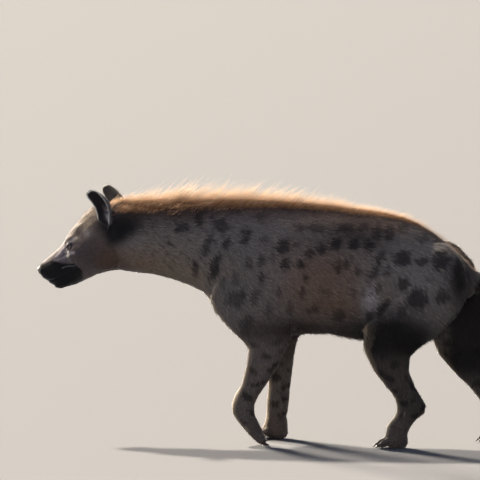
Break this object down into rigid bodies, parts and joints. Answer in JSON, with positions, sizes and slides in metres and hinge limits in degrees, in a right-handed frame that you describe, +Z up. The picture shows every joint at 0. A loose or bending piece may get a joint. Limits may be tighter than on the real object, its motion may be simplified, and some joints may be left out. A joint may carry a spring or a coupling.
{
  "type": "spotted hyena",
  "caption": "Life-size still model of a spotted hyena in mid stride, head carried low, with a raised crest along the neck and back and a tufted tail.",
  "frame": {"origin": "on the floor, under the middle of the overall box", "axes": "+Z up; the nose points to -X and the tail to +X; the animal's left side is toward -Y"},
  "size_m": [1.5525, 0.302, 0.8582],
  "materials": {
    "coat": "short rough fur, grey-brown with dark spots",
    "dark_coat": "short dark brown fur",
    "tail_hair": "long coarse black-brown hair",
    "nose_leather": "moist black pebbled skin",
    "eye": "wet dark brown eye"
  },
  "bodies": {
    "root": {"head": "coat", "nose": "nose_leather", "eye_left": "eye", "eye_right": "eye", "ear_left": "dark_coat", "ear_right": "dark_coat", "neck": "coat", "torso": "coat", "tail": "tail_hair", "foreleg_left": "coat", "foreleg_right": "coat", "hindleg_left": "coat", "hindleg_right": "coat", "forepaw_left": "dark_coat", "forepaw_right": "dark_coat", "hindpaw_left": "dark_coat", "hindpaw_right": "dark_coat"}
  },
  "joints": []
}
